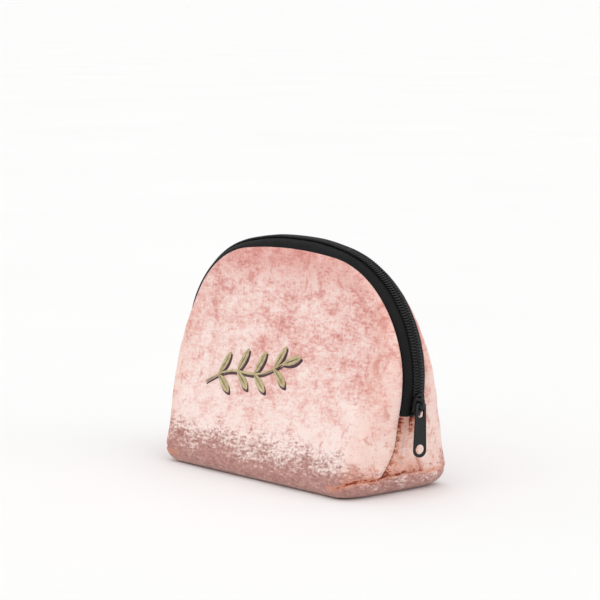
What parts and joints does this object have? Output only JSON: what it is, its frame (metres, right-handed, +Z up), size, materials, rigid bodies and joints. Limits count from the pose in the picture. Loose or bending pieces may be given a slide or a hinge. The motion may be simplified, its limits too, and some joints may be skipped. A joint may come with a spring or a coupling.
{
  "type": "makeup bag",
  "caption": "Dome-shaped soft velvet makeup pouch with a flat base, side gussets and a coil zip over the whole arch.",
  "frame": {"origin": "centre of the flat base, at the surface it stands on", "axes": "+X towards the zip's closed end, where the slider rests; -Y towards the embroidered front; +Z up"},
  "size_m": [0.1722, 0.0676, 0.116],
  "materials": {
    "velvet": "crushed velvet, blush pink",
    "foam": "open-cell foam wadding",
    "lining": "plain woven polyester, dusty rose",
    "zip_tape": "woven herringbone tape",
    "zip_coil": "nylon coil",
    "zip_stops": "semi-gloss black",
    "slider": "semi-gloss black",
    "puller": "semi-gloss black",
    "gold_thread": "satin-stitched metallic thread",
    "shadow_thread": "satin-stitched thread"
  },
  "bodies": {
    "bag_body": {"body_velvet": "velvet", "body_foam": "foam", "body_lining": "lining", "right_gusset_velvet": "velvet", "right_gusset_foam": "foam", "right_gusset_lining": "lining", "left_gusset_velvet": "velvet", "left_gusset_foam": "foam", "left_gusset_lining": "lining", "right_zip_end_tapes": "zip_tape", "right_zip_end_coils": "zip_coil", "left_zip_end_tapes": "zip_tape", "left_zip_end_coils": "zip_coil", "zip_top_stops": "zip_stops", "zip_bottom_stop": "zip_stops", "front_fold_velvet": "velvet", "front_fold_foam": "foam", "front_fold_lining": "lining", "front_fold_tape": "zip_tape", "front_fold_coil": "zip_coil", "back_fold_velvet": "velvet", "back_fold_foam": "foam", "back_fold_lining": "lining", "back_fold_tape": "zip_tape", "back_fold_coil": "zip_coil"},
    "front_leaf": {"front_panel_velvet": "velvet", "front_panel_foam": "foam", "front_panel_lining": "lining", "front_zip_tape": "zip_tape", "front_zip_coil": "zip_coil", "sprig_gold_thread": "gold_thread", "sprig_shadow_thread": "shadow_thread"},
    "back_leaf": {"back_panel_velvet": "velvet", "back_panel_foam": "foam", "back_panel_lining": "lining", "back_zip_tape": "zip_tape", "back_zip_coil": "zip_coil"},
    "slider": {"slider_body": "slider"},
    "puller": {"zip_puller": "puller"}
  },
  "joints": [
    {"name": "front_mouth", "type": "hinge", "parent": "bag_body", "child": "front_leaf", "pos_m": [0, 0, 0.054], "axis": [1, 0, 0], "range_deg": [0, 26], "deforming": ["front_fold_velvet", "front_fold_foam", "front_fold_lining", "front_fold_tape", "front_fold_coil", "sprig_gold_thread", "sprig_shadow_thread"]},
    {"name": "back_mouth", "type": "hinge", "parent": "bag_body", "child": "back_leaf", "pos_m": [0, 0, 0.054], "axis": [1, 0, 0], "range_deg": [-26, 0], "deforming": ["back_fold_velvet", "back_fold_foam", "back_fold_lining", "back_fold_tape", "back_fold_coil"]},
    {"name": "slider_travel", "type": "hinge", "parent": "bag_body", "child": "slider", "pos_m": [0.026, 0, 0.05587], "axis": [0, 1, 0], "range_deg": [-86, 0]},
    {"name": "puller_swing", "type": "hinge", "parent": "slider", "child": "puller", "pos_m": [0.08556, 0, 0.04494], "axis": [0, -1, 0], "range_deg": [-10, 168]}
  ],
  "couplings": [
    {"joint": "back_mouth", "follows": "front_mouth", "ratio": -1}
  ]
}
